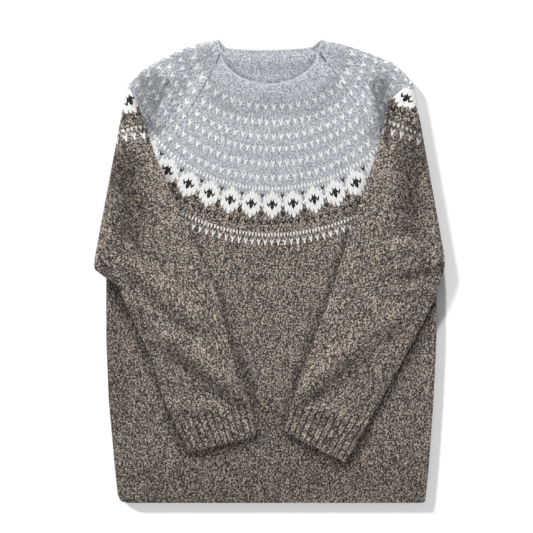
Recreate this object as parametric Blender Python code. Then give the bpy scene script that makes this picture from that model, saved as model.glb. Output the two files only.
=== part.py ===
"""A knitted yoke sweater, laid flat with both sleeves folded over its front.

Every piece is a wall of cloth: a back, a front, two sleeves, two ribbed cuffs, two hem bands
and a neckband. Sizes are in millimetres and become metres when a mesh is made. X runs to the
right, Y from the hem to the neck, and Z up from the surface that the sweater lies on. Left and
right are as seen from above.
"""
import math

import bmesh
import bpy

MM = 0.001

# Cloth and the way it lies
WALL = 2.6            # thickness of the knitted cloth
HEIGHT = 7.6          # two layers of cloth and the slack between them
SEAM = 0.3            # gap between two pieces at a seam
RAGLAN_INSET = 0.175  # each side's share of the gap along a slanting raglan
EDGE_PAD = 1.2        # extra width at each step of a rounded edge
EDGE_ANGLES = (0.0, 30.0, 60.0, 90.0)
FADE_STEPS = (0.0, 8.0, 18.0, 30.0)  # way up the raglan over which the side fold opens out

# How a sleeve turns over and settles on the front
ROLL_RISE = 10.0      # height of the middle of the roll
ROLL_STEPS = 8
SETTLE_REACH = 40.0   # way in from the roll at which the sleeve lies down on the front
LAID_GAP = 0.5        # air between the front and a sleeve that lies on it
UNDER_RISE = 0.3      # share of a fold's height that the sleeve's lower layer takes

# Pieces
PANEL_COLUMNS = 20
SLEEVE_COLUMNS = 9
ARMHOLE_STEPS = 6
RIB_COUNT = 24        # ribs all round a cuff
RIB_DEPTH = 0.9
RIB_PROFILE = (1.0, 0.0, 0.0, 1.0)   # share of the rib depth at four places across one rib
CUFF_RINGS = 4
CUFF_SEAM = 0.42      # gap above a cuff along the arm, as the seam slants across it
BAND_STEPS = (0.0, 0.35, 0.8, 1.0)
BAND_SWELL = (0.0, 0.5, 0.5, -0.4)   # how far the neckband stands proud at each step

SHARP_ANGLE = 50.0    # faces that meet at more degrees than this keep a sharp edge
COLOURS = {
    "brown_heather": (0.165, 0.140, 0.122),
    "grey_heather": (0.390, 0.410, 0.440),
}

# Rows of the front from the hem seam to the neckband: both ends, depth of the row's curve
# below its ends, and how square that curve is
BODY_ROWS = (
    # left x, left y, right x, right y, sag, power
    (-219.5, -269.8, 221.6, -269.8, 0.0, 1.0),
    (-227.5, -180.0, 228.0, -180.0, 14.0, 1.0),
    (-231.0, -96.0, 232.0, -96.0, 38.0, 1.0),
    (-231.0, -12.0, 232.0, -12.0, 62.0, 0.95),
)
YOKE_ROWS = (
    (-229.6, 32.9, 228.2, 30.0, 79.0, 0.91),
    (-198.0, 85.6, 199.3, 83.7, 71.6, 0.90),
    (-167.1, 137.1, 170.1, 137.9, 63.0, 0.88),
    (-142.7, 177.9, 146.7, 181.4, 56.0, 0.86),
    (-124.5, 208.2, 130.6, 211.4, 48.0, 0.83),
    (-106.4, 238.5, 114.3, 241.6, 40.0, 0.80),
    (-94.5, 258.5, 102.5, 259.5, 33.0, 0.76),
    (-85.5, 274.0, 92.0, 275.0, 33.5, 0.73),
    (-77.5, 291.0, 77.5, 294.0, 42.2, 0.70),
)
# The back is the same to the underarm, then rises to a shallow neckline
BACK_YOKE_ROWS = (
    (-229.6, 32.9, 228.2, 30.0, 79.0, 0.91),
    (-198.0, 85.6, 199.3, 83.7, 68.0, 0.90),
    (-167.1, 137.1, 170.1, 137.9, 55.0, 0.90),
    (-142.7, 177.9, 146.7, 181.4, 44.0, 0.90),
    (-124.5, 208.2, 130.6, 211.4, 34.0, 0.90),
    (-106.4, 238.5, 114.3, 241.6, 22.0, 0.90),
    (-94.5, 258.5, 102.5, 259.5, 15.0, 0.90),
    (-85.5, 274.0, 92.0, 275.0, 10.0, 0.90),
    (-77.5, 291.0, 77.5, 294.0, 7.5, 0.85),
    (-72.0, 304.0, 70.5, 306.0, 6.0, 0.80),
)
HEM_ROWS = (
    (-205.0, -324.0, 214.0, -324.0, 0.0, 1.0),
    (-211.5, -321.0, 216.4, -321.6, 0.0, 1.0),
    (-214.8, -313.0, 217.2, -315.0, 0.0, 1.0),
    (-216.8, -296.0, 219.0, -296.0, 0.0, 1.0),
    (-219.5, -270.1, 221.6, -270.1, 0.0, 1.0),
)
# Free edge of the neckband in front and behind, as rows
BAND_EDGE_FRONT = (-68.5, 300.5, 65.0, 302.5, 38.5, 0.66)
BAND_EDGE_BACK = (-64.0, 314.5, 58.5, 316.0, 3.6, 0.80)

# For each side: where the folded edge of the shoulder meets the neckband and its free edge,
# the shoulder's edge out to the roll, the line that the sleeve rolls over, and the sleeve's
# ends along that line before and after the roll
SIDES = {
    "left": {
        "sign": -1.0,
        "band_base": (-86.3, 321.3),
        "band_edge": (-74.2, 326.2),
        "shoulder": ((-86.3, 321.3), (-116.0, 314.0), (-135.0, 306.5), (-154.0, 297.5),
                     (-168.0, 289.5), (-179.0, 281.5), (-190.5, 268.0)),
        "roll_start": (-195.2, 238.2),
        "roll_along": (-0.184, -0.983),
        "ends_before": (-30.2, 218.0),
        "ends_after": (-24.0, 236.5),
    },
    "right": {
        "sign": 1.0,
        "band_base": (82.2, 321.3),
        "band_edge": (70.0, 325.5),
        "shoulder": ((82.2, 321.3), (113.0, 313.5), (134.0, 306.0), (154.0, 299.5),
                     (168.0, 292.0), (178.0, 283.0), (187.0, 265.5)),
        "roll_start": (194.2, 233.2),
        "roll_along": (0.177, -0.984),
        "ends_before": (-32.6, 214.0),
        "ends_after": (-29.0, 238.0),
    },
}
# Folded sleeve, as seen from above, from the roll to the cuff: its inner edge (the top of
# the arm) and its outer edge (the underarm)
ARM_ROWS = {
    "left": (
        # inner x, inner y, outer x, outer y
        (-184.5, 235.0, -236.5, 3.0),
        (-176.0, 203.0, -234.0, 1.0),
        (-165.0, 171.0, -231.0, -1.5),
        (-151.6, 139.0, -228.0, -4.5),
        (-132.0, 96.0, -223.5, -9.5),
        (-112.0, 52.0, -218.5, -16.0),
        (-99.8, 24.5, -212.0, -27.0),
        (-85.4, -5.0, -198.5, -56.0),
        (-71.4, -44.0, -181.0, -93.0),
        (-59.0, -95.0, -166.5, -124.0),
        (-48.4, -143.0, -153.0, -171.0),
        (-29.5, -184.0, -138.5, -203.0),
    ),
    "right": (
        (167.0, 252.0, 238.0, -5.0),
        (162.0, 230.0, 237.5, -9.0),
        (155.4, 199.0, 236.5, -13.0),
        (147.0, 161.0, 235.0, -17.0),
        (136.6, 130.0, 233.5, -21.0),
        (125.0, 100.0, 231.5, -26.0),
        (112.0, 62.0, 229.0, -33.0),
        (101.0, 24.0, 225.8, -43.0),
        (88.0, -20.0, 216.0, -64.0),
        (73.0, -60.0, 200.0, -95.0),
        (58.0, -104.0, 180.0, -133.0),
        (43.4, -139.0, 162.0, -165.0),
        (30.0, -184.0, 139.5, -205.0),
    ),
}
# Cuffs: the same two edges at the top of the rib and at the wrist, and how far each line
# bows up between them
CUFF_ENDS = {
    "left": {
        "top": (-29.5, -184.0, -138.5, -203.0, 8.0),
        "wrist": (-20.5, -228.0, -114.5, -252.0, 5.0),
    },
    "right": {
        "top": (30.0, -184.0, 139.5, -205.0, 5.0),
        "wrist": (18.5, -223.0, 104.0, -267.0, 3.0),
    },
}

# Largest folds, as soft ridges along short lines
YOKE_FOLDS = (
    # x0, y0, x1, y1, height, half width
    (-139.0, 266.0, -161.0, 214.0, 5.0, 30.0),
    (128.0, 268.0, 150.0, 208.0, 5.0, 30.0),
)
ARM_FOLDS = (
    (-199.0, 10.0, -103.0, -68.0, 4.5, 25.0),
    (-188.0, -42.0, -145.0, -89.0, 6.0, 25.0),
    (-145.0, -89.0, -38.0, -174.0, 7.0, 27.0),
    (-140.0, -189.0, -85.0, -192.0, 3.0, 17.0),
    (222.0, 26.0, 184.0, 36.0, 4.0, 20.0),
    (214.0, -22.0, 172.0, -28.0, 4.0, 20.0),
    (176.0, -60.0, 107.0, -110.0, 6.0, 25.0),
    (107.0, -110.0, 38.0, -172.0, 7.0, 27.0),
    (128.0, -212.0, 58.0, -190.0, 3.0, 17.0),
)


def mix(a, b, t):
    return a + (b - a) * t


def mix_all(a, b, t):
    return tuple(mix(p, q, t) for p, q in zip(a, b))


def ease(t):
    t = min(max(t, 0.0), 1.0)
    return t * t * (3.0 - 2.0 * t)


def walk(points, share):
    """Point at a share of the length of a line of points."""
    lengths = [math.dist(a, b) for a, b in zip(points, points[1:])]
    left = share * sum(lengths)
    for a, b, length in zip(points, points[1:], lengths):
        if left <= length or b is points[-1]:
            return mix_all(a, b, left / length)
        left -= length


def rise(folds, x, y):
    """Height of the soft ridges at a place, each fading to nothing at its reach."""
    total = 0.0
    for x0, y0, x1, y1, height, reach in folds:
        dx, dy = x1 - x0, y1 - y0
        t = ((x - x0) * dx + (y - y0) * dy) / (dx * dx + dy * dy)
        t = min(max(t, 0.0), 1.0)
        gap = math.hypot(x - x0 - t * dx, y - y0 - t * dy) / reach
        if gap < 1.0:
            total = max(total, height * (1.0 - gap * gap) ** 2)
    return total


def front_share(height):
    """0 on the lower of the two layers, 1 on the upper one, and between them at the folds."""
    return ease((height - WALL) / (HEIGHT - 2.0 * WALL))


def make_material(name, colour):
    material = bpy.data.materials.new(name)
    material.use_nodes = True
    shader = material.node_tree.nodes["Principled BSDF"]
    shader.inputs["Base Color"].default_value = (*colour, 1.0)
    shader.inputs["Roughness"].default_value = 0.95
    shader.inputs["Metallic"].default_value = 0.0
    return material


def make_wall(name, material, outer, inner, closed):
    """One wall of cloth between two like grids of points, with rims along its free edges.

    A closed wall runs all the way round from its last column to its first.
    """
    rows, columns = len(outer), len(outer[0])
    shell = bmesh.new()
    grids = [[[shell.verts.new([c * MM for c in point]) for point in row] for row in grid]
             for grid in (outer, inner)]
    spans = columns if closed else columns - 1
    for grid in grids:
        for i in range(rows - 1):
            for c in range(spans):
                d = (c + 1) % columns
                shell.faces.new((grid[i][c], grid[i][d], grid[i + 1][d], grid[i + 1][c]))
    skin, lining = grids
    for i in (0, rows - 1):
        for c in range(spans):
            d = (c + 1) % columns
            shell.faces.new((skin[i][c], skin[i][d], lining[i][d], lining[i][c]))
    if not closed:
        for c in (0, columns - 1):
            for i in range(rows - 1):
                shell.faces.new((skin[i][c], skin[i + 1][c], lining[i + 1][c], lining[i][c]))
    bmesh.ops.triangulate(shell, faces=shell.faces)
    bmesh.ops.recalc_face_normals(shell, faces=shell.faces)
    mesh = bpy.data.meshes.new(name)
    shell.to_mesh(mesh)
    shell.free()
    mesh.shade_smooth()
    mesh.set_sharp_from_angle(angle=math.radians(SHARP_ANGLE))
    mesh.materials.append(material)
    piece = bpy.data.objects.new(name, mesh)
    bpy.context.collection.objects.link(piece)
    return piece


def row_point(row, u):
    """Place on a row of a panel, u of the way from its left end to its right end."""
    left_x, left_y, right_x, right_y, sag, power = row
    dip = sag * max(4.0 * u * (1.0 - u), 0.0) ** power
    return mix(left_x, right_x, u), mix(left_y, right_y, u) - dip


def split_rows(rows, parts):
    fine = []
    for a, b in zip(rows, rows[1:]):
        fine += [mix_all(a, b, k / parts) for k in range(parts)]
    return fine + [rows[-1]]


def body_rows(yoke_rows):
    """Rows of a panel, each with the angle to which its side folds round at its ends."""
    low = [(row, 0.0) for row in split_rows(BODY_ROWS + yoke_rows[:1], 2)[:-1]]
    underarm, above = yoke_rows[:2]
    way = math.dist(underarm[:2], above[:2])
    fade = [(mix_all(underarm, above, step / way), angle)
            for step, angle in zip(FADE_STEPS, EDGE_ANGLES)]
    return low + fade + [(row, EDGE_ANGLES[-1]) for row in yoke_rows[1:]]


def panel_ends(row):
    """The row drawn in from the seams at its ends by its share of the gap."""
    left_x, left_y, right_x, right_y, sag, power = row
    return left_x + RAGLAN_INSET, left_y, right_x - RAGLAN_INSET, right_y, sag, power


def panel_shares():
    """Columns across a panel: steps in from the left side, across, and out to the right."""
    last = len(EDGE_ANGLES) - 1
    columns = [("left", k) for k in range(last + 1)]
    columns += [("across", j / PANEL_COLUMNS) for j in range(1, PANEL_COLUMNS)]
    return columns + [("right", k) for k in range(last, -1, -1)]


def panel_grids(rows, face):
    """Outer and inner points of a front (face 1) or a back (face -1)."""
    middle = HEIGHT / 2.0 + face * SEAM / 2.0
    skin_radius = (HEIGHT - SEAM) / 2.0
    lining_radius = skin_radius - WALL
    pad_width = EDGE_PAD * (len(EDGE_ANGLES) - 1)
    outer, inner = [], []
    for whole_row, first_angle in rows:
        row = panel_ends(whole_row)
        width = row[2] - row[0]
        skin_row, lining_row = [], []
        for kind, value in panel_shares():
            if kind == "across":
                edge = (skin_radius * math.cos(math.radians(first_angle)) + pad_width) / width
                shares = [mix(edge, 1.0 - edge, value)] * 2
                angle = math.radians(90.0)
            else:
                angle = math.radians(mix(first_angle, 90.0, value / (len(EDGE_ANGLES) - 1)))
                start = skin_radius * math.cos(math.radians(first_angle)) + EDGE_PAD * value
                steps = [start - radius * math.cos(angle) for radius in (skin_radius, lining_radius)]
                shares = [step / width if kind == "left" else 1.0 - step / width for step in steps]
            layers = ((skin_radius, skin_row), (lining_radius, lining_row))
            for share, (radius, points) in zip(shares, layers):
                x, y = row_point(row, share)
                z = middle + face * radius * math.sin(angle)
                points.append((x, y, z + rise(YOKE_FOLDS, x, y) * max(face, 0)))
        outer.append(skin_row)
        inner.append(lining_row)
    return outer, inner


class Roll:
    """The line that a sleeve turns over, and where each place of its cloth lies after it."""

    def __init__(self, side):
        along = side["roll_along"]
        self.start = side["roll_start"]
        self.along = along
        self.outward = (side["sign"] * abs(along[1]), abs(along[0]))
        self.length = math.pi * (ROLL_RISE - HEIGHT / 2.0)

    def turned(self, s, distance, height):
        """s along the line and distance past it, measured on the cloth while it was flat."""
        angle = distance / self.length * math.pi
        radius = ROLL_RISE - height
        out = radius * math.sin(angle)
        x = self.start[0] + s * self.along[0] + out * self.outward[0]
        y = self.start[1] + s * self.along[1] + out * self.outward[1]
        return x, y, ROLL_RISE - radius * math.cos(angle)

    def laid(self, x, y, height):
        """A place on the turned-over sleeve, with its fold ridges."""
        inward = (self.start[0] - x) * self.outward[0] + (self.start[1] - y) * self.outward[1]
        drop = 2.0 * ROLL_RISE - 2.0 * HEIGHT - LAID_GAP
        z = 2.0 * ROLL_RISE - height - drop * ease(inward / SETTLE_REACH)
        lift = rise(ARM_FOLDS, x, y) * ease(inward / SETTLE_REACH)
        return x, y, z + lift * mix(1.0, UNDER_RISE, front_share(height)) + rise(YOKE_FOLDS, x, y)


def tube_stations(length):
    """Round a flattened tube: (way from the underarm edge, height) for its skin and lining."""
    radius, lining_radius = HEIGHT / 2.0, HEIGHT / 2.0 - WALL
    last = len(EDGE_ANGLES) - 1
    edge = radius + EDGE_PAD * last
    rounded = []
    for k, degrees in enumerate(EDGE_ANGLES):
        angle = math.radians(degrees)
        start = radius + EDGE_PAD * k
        rounded.append(((start - radius * math.cos(angle), radius * math.sin(angle)),
                        (start - lining_radius * math.cos(angle), lining_radius * math.sin(angle))))
    across = [mix(edge, length - edge, j / (SLEEVE_COLUMNS + 1)) for j in range(1, SLEEVE_COLUMNS + 1)]
    level = (radius, lining_radius)
    top = [((a, b), (c, d)) for (a, b), (c, d) in rounded]
    top += [((x, level[0]), (x, level[1])) for x in across]
    top += [((length - a, b), (length - c, d)) for (a, b), (c, d) in reversed(rounded)]
    under = [tuple((x, -h) for x, h in pair) for pair in reversed(top[1:-1])]
    return [tuple((x, radius + h) for x, h in pair) for pair in top + under]


def armhole_lines(name):
    """Seam line of a sleeve from the underarm to the shoulder, in front and behind."""
    x, y = (0, 1) if name == "left" else (2, 3)
    side = SIDES[name]
    lines = []
    for rows in (YOKE_ROWS, BACK_YOKE_ROWS):
        seam = [(row[x] + side["sign"] * RAGLAN_INSET, row[y]) for row in rows]
        lines.append(seam + [side["band_base"]])
    return lines


def armhole_stations(line):
    """Ways along the seam line at which the sleeve's first ring has its points: one at each
    row of the panel that it is sewn to, and what is left on the neck edge."""
    lengths = [0.0]
    for a, b in zip(line, line[1:]):
        lengths.append(lengths[-1] + math.dist(a, b))
    ways = lengths[1:-1]
    edge = EDGE_PAD * (len(EDGE_ANGLES) - 1) + HEIGHT / 2.0
    while len(ways) < SLEEVE_COLUMNS:
        ways.append(mix(ways[-1], lengths[-1] - edge, 0.5))
    return ways, lengths[-1]


def sleeve_grids(name):
    """Outer and inner rings of a sleeve, from its armhole and neck edge to the cuff."""
    side = SIDES[name]
    roll = Roll(side)
    sign = side["sign"]
    last = len(EDGE_ANGLES) - 1
    front_line, back_line = armhole_lines(name)
    outer, inner = [], []

    def add_ring(place, length):
        skin, lining = [], []
        for (x0, h0), (x1, h1) in tube_stations(length):
            skin.append(place(x0 / length, h0))
            lining.append(place(x1 / length, h1))
        outer.append(skin)
        inner.append(lining)

    def first_ring():
        """Pairs of (x, y, height) from the underarm over the front to the shoulder and back."""
        halves = []
        for line, face in ((front_line, 1.0), (back_line, -1.0)):
            ways, whole = armhole_stations(line)
            half = []
            for step, degrees in zip(FADE_STEPS, EDGE_ANGLES):
                angle = math.radians(degrees)
                x, y = walk(line, step / whole)
                half.append(tuple((x + sign * inset * math.cos(angle), y,
                                   HEIGHT / 2.0 + face * radius * math.sin(angle))
                                  for inset, radius in ((0.0, HEIGHT / 2.0), (WALL, HEIGHT / 2.0 - WALL))))
            for way in ways:
                x, y = walk(line, way / whole)
                half.append(tuple((x, y, HEIGHT / 2.0 + face * radius)
                                  for radius in (HEIGHT / 2.0, HEIGHT / 2.0 - WALL)))
            for k in range(last, -1, -1):
                angle = math.radians(EDGE_ANGLES[k])
                start = HEIGHT / 2.0 + EDGE_PAD * k
                pair = []
                for radius in (HEIGHT / 2.0, HEIGHT / 2.0 - WALL):
                    x, y = walk(line, 1.0 - (start - radius * math.cos(angle)) / whole)
                    pair.append((x, y, HEIGHT / 2.0 + face * radius * math.sin(angle)))
                half.append(tuple(pair))
            halves.append(half)
        front, back = halves
        return front + back[-2:0:-1]

    ring = first_ring()
    roll_ends = [tuple(roll.start[i] + s * roll.along[i] for i in (0, 1)) for s in side["ends_before"]]
    at_shoulder, at_underarm = roll_ends
    roll_length = math.dist(at_shoulder, at_underarm)
    roll_ring = []
    for pair in tube_stations(roll_length):
        roll_ring.append(tuple((*mix_all(at_underarm, at_shoulder, way / roll_length), h)
                               for way, h in pair))
    tips = [way / roll_length for (way, _), _ in tube_stations(roll_length)]
    for step in range(ARMHOLE_STEPS):
        t = step / ARMHOLE_STEPS
        shoulder = walk(side["shoulder"], t)
        straight = mix_all(side["shoulder"][0], side["shoulder"][-1], t)
        bow = (shoulder[0] - straight[0], shoulder[1] - straight[1])
        rows = ([], [])
        for pair_a, pair_b, tip in zip(ring, roll_ring, tips):
            for row, a, b in zip(rows, pair_a, pair_b):
                x, y, h = mix_all(a, b, t)
                x += bow[0] * tip ** 2
                y += bow[1] * tip ** 2
                row.append((x, y, h + rise(YOKE_FOLDS, x, y) * front_share(h)))
        outer.append(rows[0])
        inner.append(rows[1])

    for step in range(ROLL_STEPS + 1):
        t = step / ROLL_STEPS
        top = mix(side["ends_before"][0], side["ends_after"][0], t)
        low = mix(side["ends_before"][1], side["ends_after"][1], math.sqrt(t))
        add_ring(lambda w, h: roll.turned(mix(low, top, w), roll.length * t, h), low - top)

    cuff_bow = CUFF_ENDS[name]["top"][4]
    arm = ARM_ROWS[name]
    for i, (inner_x, inner_y, outer_x, outer_y) in enumerate(arm):
        bow = cuff_bow if i == len(arm) - 1 else 0.0
        length = math.hypot(inner_x - outer_x, inner_y - outer_y)

        def place(w, h):
            x = mix(outer_x, inner_x, w)
            y = mix(outer_y, inner_y, w) + bow * 4.0 * w * (1.0 - w)
            return roll.laid(x, y, h)

        add_ring(place, length)
    return outer, inner


def tube_round(length, share, inset):
    """Place on a flattened tube's skin, a share of the way round, drawn in by an inset."""
    radius = HEIGHT / 2.0
    flat = length - 2.0 * radius
    bend = math.pi * radius
    way = share * 2.0 * (flat + bend)
    if way < bend / 2.0 or way > 2.0 * flat + 1.5 * bend:
        angle = (way if way < bend / 2.0 else way - 2.0 * (flat + bend)) / radius
        return radius - (radius - inset) * math.cos(angle), radius + (radius - inset) * math.sin(angle)
    way -= bend / 2.0
    if way < flat:
        return radius + way, HEIGHT - inset
    way -= flat
    if way < bend:
        angle = way / radius
        return (radius + flat + (radius - inset) * math.sin(angle),
                radius + (radius - inset) * math.cos(angle))
    return radius + flat - (way - bend), inset


def cuff_grids(name):
    """Rings of a cuff: ribs stand out of its skin, over a plain lining."""
    roll = Roll(SIDES[name])
    top, wrist = CUFF_ENDS[name]["top"], CUFF_ENDS[name]["wrist"]
    reach = math.dist(top[:2], wrist[:2])
    columns = RIB_COUNT * len(RIB_PROFILE)
    outer, inner = [], []
    for ring in range(CUFF_RINGS):
        t = mix(CUFF_SEAM / reach, 1.0, ring / (CUFF_RINGS - 1))
        inner_x, inner_y, outer_x, outer_y, bow = mix_all(top, wrist, t)
        length = math.hypot(inner_x - outer_x, inner_y - outer_y)
        skin, lining = [], []
        for c in range(columns):
            rib = RIB_PROFILE[c % len(RIB_PROFILE)] * RIB_DEPTH
            for points, inset in ((skin, rib), (lining, WALL)):
                way, h = tube_round(length, (c + 0.5) / columns, inset)
                w = way / length
                x = mix(outer_x, inner_x, w)
                y = mix(outer_y, inner_y, w) + bow * 4.0 * w * (1.0 - w)
                points.append(roll.laid(x, y, h))
        outer.append(skin)
        inner.append(lining)
    return outer, inner


def band_columns():
    """The neckband's columns, clockwise from the left raglan in front: pairs for its base and
    its free edge, each with the places and heights of skin and lining."""
    radius, lining_radius = HEIGHT / 2.0, HEIGHT / 2.0 - WALL
    last = len(EDGE_ANGLES) - 1
    columns = []

    def across(base_row, edge_row, face):
        width = panel_ends(base_row)[2] - panel_ends(base_row)[0]
        edge = EDGE_PAD * last / width
        shares = []
        for kind, value in panel_shares():
            if kind == "across":
                shares.append(mix(edge, 1.0 - edge, value))
            else:
                step = EDGE_PAD * value / width
                shares.append(step if kind == "left" else 1.0 - step)
        return [[(*row_point(row, share), face) for row in (panel_ends(base_row), edge_row)]
                for share in shares]

    def flat(pair):
        base, edge = pair
        face = base[2]
        heights = (radius + face * radius, radius + face * lining_radius)
        return [[(x, y, h) for h in heights] for x, y, _ in (base, edge)]

    def shoulder(side, front_ends, back_ends):
        """From the front raglan over the shoulder's folded edge to the back raglan."""
        part = []
        for ends, face in ((front_ends, 1.0), (back_ends, -1.0)):
            half = []
            lines = ((ends[0], side["band_base"]), (ends[1], side["band_edge"]))
            for k in [None] + list(range(last, -1, -1)):
                pair = []
                for a, b in lines:
                    length = math.dist(a, b)
                    points = []
                    for r in (radius, lining_radius):
                        if k is None:
                            edge = (radius + EDGE_PAD * last) / length
                            points.append((*mix_all(a, b, (1.0 - edge) * 0.5), radius + face * r))
                            continue
                        angle = math.radians(EDGE_ANGLES[k])
                        back_off = radius + EDGE_PAD * k - r * math.cos(angle)
                        points.append((*mix_all(a, b, 1.0 - back_off / length),
                                       radius + face * r * math.sin(angle)))
                    pair.append(points)
                half.append(pair)
            part.append(half)
        front, back = part
        return front + back[-2::-1]

    front_base, back_base = YOKE_ROWS[-1], BACK_YOKE_ROWS[-1]
    ends = {
        "right": ((front_base[2:4], BAND_EDGE_FRONT[2:4]), (back_base[2:4], BAND_EDGE_BACK[2:4])),
        "left": ((front_base[0:2], BAND_EDGE_FRONT[0:2]), (back_base[0:2], BAND_EDGE_BACK[0:2])),
    }
    columns += [flat(pair) for pair in across(front_base, BAND_EDGE_FRONT, 1.0)]
    columns += shoulder(SIDES["right"], *ends["right"])
    columns += [flat(pair) for pair in reversed(across(back_base, BAND_EDGE_BACK, -1.0))]
    columns += reversed(shoulder(SIDES["left"], *ends["left"]))
    return columns


def band_grids():
    """Rows of the neckband from its seam to its free edge, a little swollen between."""
    outer, inner = [], []
    for step, swell in zip(BAND_STEPS, BAND_SWELL):
        skin, lining = [], []
        for base, edge in band_columns():
            reach = math.dist(base[0][:2], edge[0][:2])
            t = mix(SEAM / reach, 1.0, step)
            x, y, h = mix_all(base[0], edge[0], t)
            u, v, k = mix_all(base[1], edge[1], t)
            in_front = front_share(h)
            skin.append((x, y, h + (swell + rise(YOKE_FOLDS, x, y)) * in_front))
            lining.append((u, v, k + mix(max(swell, 0.0), rise(YOKE_FOLDS, u, v), in_front)))
        outer.append(skin)
        inner.append(lining)
    return outer, inner


def build():
    for leftover in list(bpy.data.objects):
        bpy.data.objects.remove(leftover, do_unlink=True)
    brown = make_material("brown_heather", COLOURS["brown_heather"])
    grey = make_material("grey_heather", COLOURS["grey_heather"])
    for name, yoke_rows, face in (("front", YOKE_ROWS, 1), ("back", BACK_YOKE_ROWS, -1)):
        make_wall(name, brown, *panel_grids(body_rows(yoke_rows), face), closed=False)
        hem_rows = [(row, 0.0) for row in HEM_ROWS]
        grids = panel_grids(hem_rows, face)
        make_wall("hem_" + name, brown, *grids, closed=False)
    for name in ("left", "right"):
        make_wall("sleeve_" + name, brown, *sleeve_grids(name), closed=True)
        make_wall("cuff_" + name, brown, *cuff_grids(name), closed=True)
    make_wall("neckband", grey, *band_grids(), closed=True)


build()
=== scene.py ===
"""A knitted yoke sweater laid flat, sleeves folded over the front, seen from straight above.

The studio is measured in metres. Lengths of the cloth are millimetres, as a knitter measures the
pieces, and MM turns them into metres. Rows are counted from the neckband's seam down to the hem,
and wales across a piece.
"""
import math

import bmesh
import bpy
import numpy as np
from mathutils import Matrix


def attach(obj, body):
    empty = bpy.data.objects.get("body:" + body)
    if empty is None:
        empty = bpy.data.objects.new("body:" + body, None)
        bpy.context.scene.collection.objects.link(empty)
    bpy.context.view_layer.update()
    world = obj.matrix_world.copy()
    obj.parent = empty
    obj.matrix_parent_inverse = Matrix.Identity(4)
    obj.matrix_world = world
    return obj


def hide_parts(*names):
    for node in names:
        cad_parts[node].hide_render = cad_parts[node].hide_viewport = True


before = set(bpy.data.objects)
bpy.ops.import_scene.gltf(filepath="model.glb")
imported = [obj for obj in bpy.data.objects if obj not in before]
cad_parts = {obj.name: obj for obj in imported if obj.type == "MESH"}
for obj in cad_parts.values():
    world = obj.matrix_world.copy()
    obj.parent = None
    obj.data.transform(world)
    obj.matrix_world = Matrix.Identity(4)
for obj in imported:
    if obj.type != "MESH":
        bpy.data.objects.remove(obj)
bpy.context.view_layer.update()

# Studio: a pale floor, a broad light from the top left that draws the folds, and an even sky.
# The camera looks straight down, with +Y up in the picture.
VIEW_WIDTH = 0.7462
VIEW_CENTRE = (-0.0063, 0.0070)
VIEW_LEVEL = 0.008    # height at which the picture is that wide, close to the top of the front
LENS = 85.0
SENSOR = 36.0
FLOOR_SIZE = 6.0
FLOOR_GAP = 0.0006    # so that the cloth and the floor don't share a face
FLOOR_COLOUR = (0.52, 0.52, 0.52, 1.0)
FLOOR_ROUGHNESS = 0.9
SKY_COLOUR = (1.0, 1.0, 1.0, 1.0)
SKY_STRENGTH = 0.52
scene = bpy.context.scene
scene.view_settings.view_transform = "Standard"
bpy.ops.object.select_all(action="DESELECT")
eye = (*VIEW_CENTRE, VIEW_WIDTH * LENS / SENSOR + VIEW_LEVEL)
bpy.ops.object.camera_add(location=eye, rotation=(0.0, 0.0, 0.0))
camera = bpy.context.object
camera.data.lens = LENS
camera.data.sensor_width = SENSOR
scene.camera = camera

bpy.ops.mesh.primitive_plane_add(size=FLOOR_SIZE, location=(0.0, 0.0, -FLOOR_GAP))
floor = bpy.context.object
floor.name = "floor"
floor_paint = bpy.data.materials.new("pale_floor")
floor_paint.use_nodes = True
floor_shader = floor_paint.node_tree.nodes["Principled BSDF"]
floor_shader.inputs["Base Color"].default_value = FLOOR_COLOUR
floor_shader.inputs["Roughness"].default_value = FLOOR_ROUGHNESS
floor.data.materials.append(floor_paint)

# The key light falls on the cloth alone, and two suns on the floor: a low one that the body
# shades and a higher one that the thicker sleeves shade, so the drop shadow is about as wide
# all round.
cloth_group = bpy.data.collections.new("cloth")
body_group = bpy.data.collections.new("body")
sleeve_group = bpy.data.collections.new("sleeves")
floor_group = bpy.data.collections.new("floor")
floor_group.objects.link(floor)
LIGHTS = (
    # name, kind, place, width or angle, power, what it falls on, what shades it
    ("key_light", "AREA", (-0.25, 1.35, 1.00), 1.0, 27.5, cloth_group, None),
    ("low_sun", "SUN", (-2.80, 2.40, 1.24), 0.08, 8.0, floor_group, body_group),
    ("high_sun", "SUN", (-1.30, 1.10, 1.00), 0.12, 4.2, floor_group, sleeve_group),
)
for name, kind, place, spread, power, receivers, blockers in LIGHTS:
    bpy.ops.object.light_add(type=kind, location=place)
    lamp = bpy.context.object
    lamp.name = name
    setattr(lamp.data, "size" if kind == "AREA" else "angle", spread)
    lamp.data.energy = power
    lamp.rotation_euler = (-lamp.location).to_track_quat("-Z", "Y").to_euler()
    lamp.light_linking.receiver_collection = receivers
    if blockers:
        lamp.light_linking.blocker_collection = blockers
sky = bpy.data.worlds.new("soft_sky")
sky.use_nodes = True
sky.node_tree.nodes["Background"].inputs["Color"].default_value = SKY_COLOUR
sky.node_tree.nodes["Background"].inputs["Strength"].default_value = SKY_STRENGTH
scene.world = sky


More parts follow.
